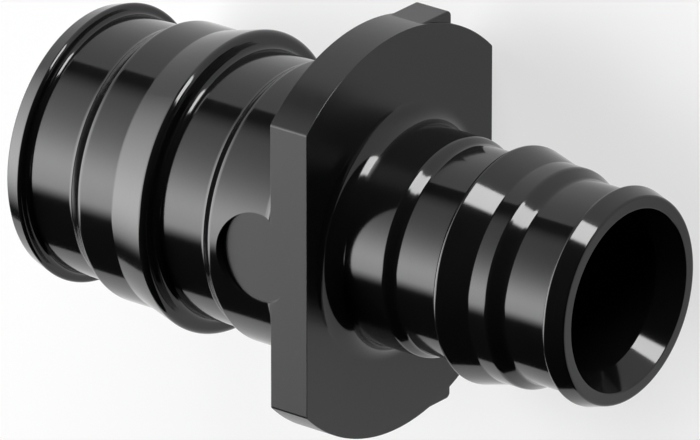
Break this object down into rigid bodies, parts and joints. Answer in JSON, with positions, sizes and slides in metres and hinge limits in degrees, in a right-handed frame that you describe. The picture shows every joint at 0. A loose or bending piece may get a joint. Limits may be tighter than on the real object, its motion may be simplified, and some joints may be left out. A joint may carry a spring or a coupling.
{
  "type": "tube coupling",
  "caption": "Straight reducing coupling for plastic tube, with ribbed push-in spigots of unequal size either side of a stop flange with flats, and a stepped through bore.",
  "frame": {"origin": "on the bore axis, in the middle of the flange's thickness", "axes": "+X along the bore towards the small spigot, +Z square to the flange's flats towards the side with the gate boss, +Y across the flange"},
  "size_m": [0.0598, 0.0376, 0.0278],
  "materials": {
    "black_polymer": "gloss on both spigots, fine satin grain on the flange and the gate boss"
  },
  "bodies": {
    "root": {"coupling_body": "black_polymer"}
  },
  "joints": []
}
